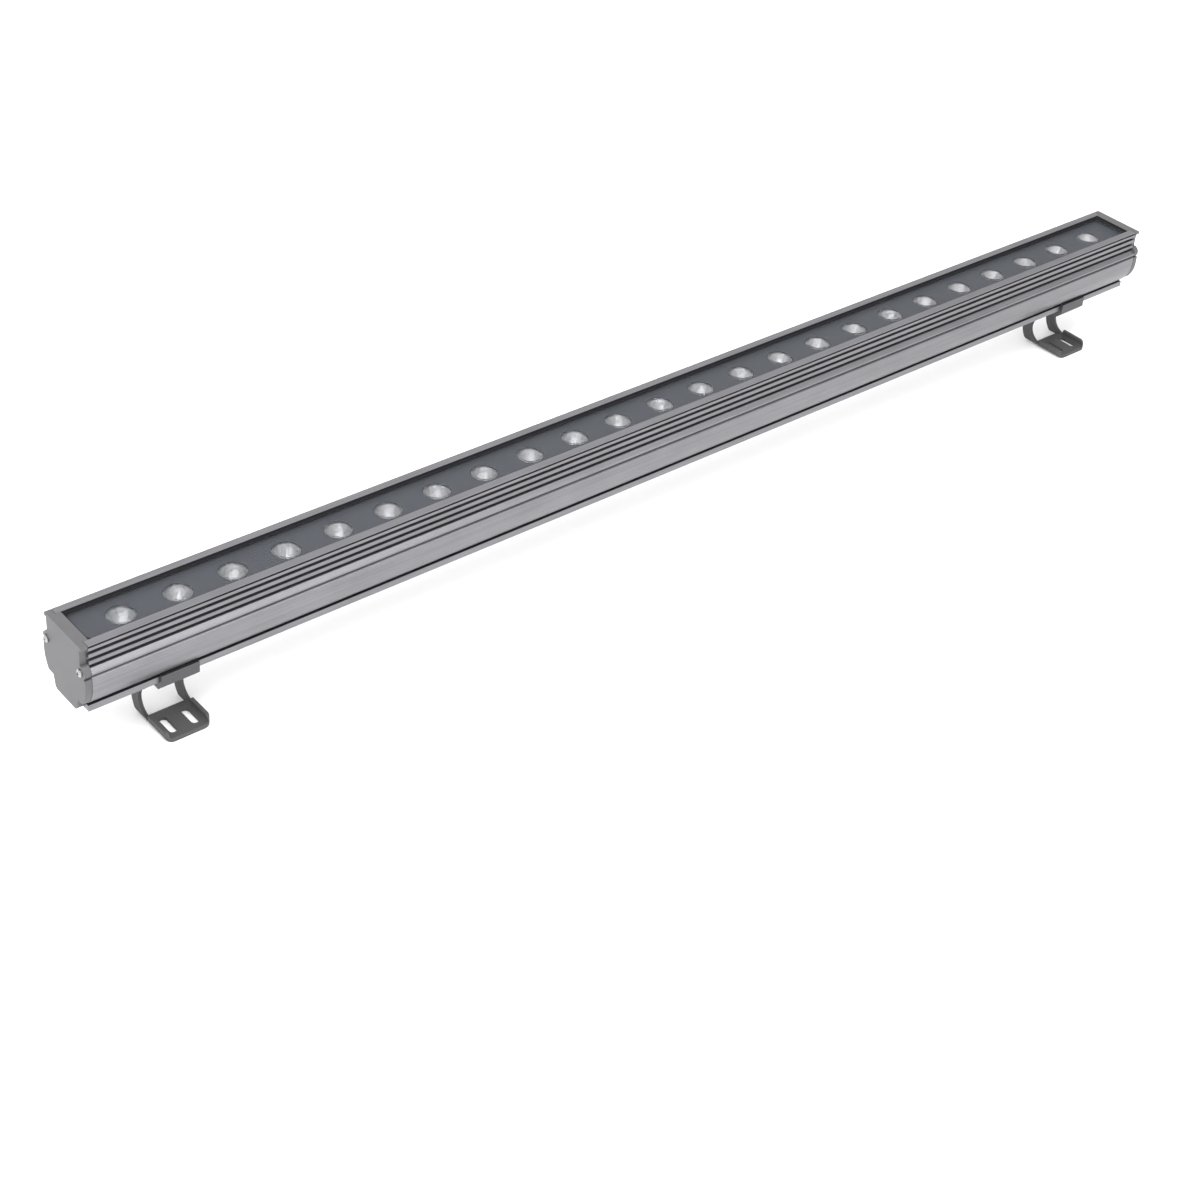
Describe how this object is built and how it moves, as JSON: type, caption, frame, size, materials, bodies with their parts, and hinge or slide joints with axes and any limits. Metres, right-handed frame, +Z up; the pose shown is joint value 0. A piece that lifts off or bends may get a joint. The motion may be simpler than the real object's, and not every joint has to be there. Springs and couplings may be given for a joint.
{
  "type": "led linear light",
  "caption": "Slim outdoor linear floodlight: finned aluminium profile with a row of round lenses behind glass, on tilting feet clamped to a rail.",
  "frame": {"origin": "on the mounting surface that the feet are screwed to, on the line through the middles of their fixing slots, halfway along the light", "axes": "+X along the light towards the cable gland, +Y from the open front of the feet towards their tilt axis, +Z up, the way the light shines"},
  "size_m": [1.0171, 0.0567, 0.093],
  "materials": {
    "anodised": "satin silver-grey anodised extrusion with fine lengthwise drawing lines",
    "cap": "satin grey powder-coated cast aluminium",
    "gasket": "matt black silicone rubber",
    "silicone": "dark grey silicone strip",
    "steel": "bright stainless steel",
    "window": "clear toughened glass",
    "bezel": "dark blue-grey matt sheet",
    "lens": "clear moulded optic",
    "chip": "yellow phosphor under a clear dome",
    "board": "white solder resist on aluminium board",
    "connector": "white nylon",
    "tray": "off-white moulded plastic",
    "laminate": "green circuit board",
    "ferrite": "dark ferrite and tape",
    "capacitor": "black sleeved cans",
    "lead": "red insulated wire",
    "nylon": "black moulded nylon",
    "clamp": "satin grey extruded aluminium with sawn ends",
    "yoke": "dark grey powder-coated steel"
  },
  "bodies": {
    "light": {"housing": "anodised", "end_cap_left": "cap", "end_cap_right": "cap", "cap_gasket_left": "gasket", "cap_gasket_right": "gasket", "cap_screws_left": "steel", "cap_screws_right": "steel", "front_glass": "window", "glass_seals": "silicone", "lens_bezel": "bezel", "lenses_left": "lens", "lenses_right": "lens", "leds_left": "chip", "leds_right": "chip", "led_board_left": "board", "led_board_right": "board", "board_screws_left": "steel", "board_screws_right": "steel", "board_link": "connector", "driver_tray": "tray", "driver_board": "laminate", "driver_transformer": "ferrite", "driver_capacitors": "capacitor", "driver_leads": "lead", "gland_body": "nylon", "gland_washer": "gasket", "gland_seal": "gasket", "gland_nut": "nylon", "gland_locknut": "nylon"},
    "clamp_left": {"clamp_block_left": "clamp", "clamp_jaw_left": "clamp", "clamp_screws_left": "steel", "pivot_bolt_left": "steel", "pivot_washers_left": "steel", "pivot_nut_left": "steel"},
    "foot_left": {"yoke_left": "yoke"},
    "clamp_right": {"clamp_block_right": "clamp", "clamp_jaw_right": "clamp", "clamp_screws_right": "steel", "pivot_bolt_right": "steel", "pivot_washers_right": "steel", "pivot_nut_right": "steel"},
    "foot_right": {"yoke_right": "yoke"}
  },
  "joints": [
    {"name": "clamp_slide_left", "type": "slide", "parent": "light", "child": "clamp_left", "axis": [1, 0, 0], "range_m": [-0.045, 0.38]},
    {"name": "foot_tilt_left", "type": "hinge", "parent": "clamp_left", "child": "foot_left", "pos_m": [-0.432, 0.017, 0.031], "axis": [1, 0, 0], "range_deg": [-80, 70]},
    {"name": "clamp_slide_right", "type": "slide", "parent": "light", "child": "clamp_right", "axis": [1, 0, 0], "range_m": [-0.38, 0.045]},
    {"name": "foot_tilt_right", "type": "hinge", "parent": "clamp_right", "child": "foot_right", "pos_m": [0.4285, 0.017, 0.031], "axis": [1, 0, 0], "range_deg": [-80, 70]}
  ]
}
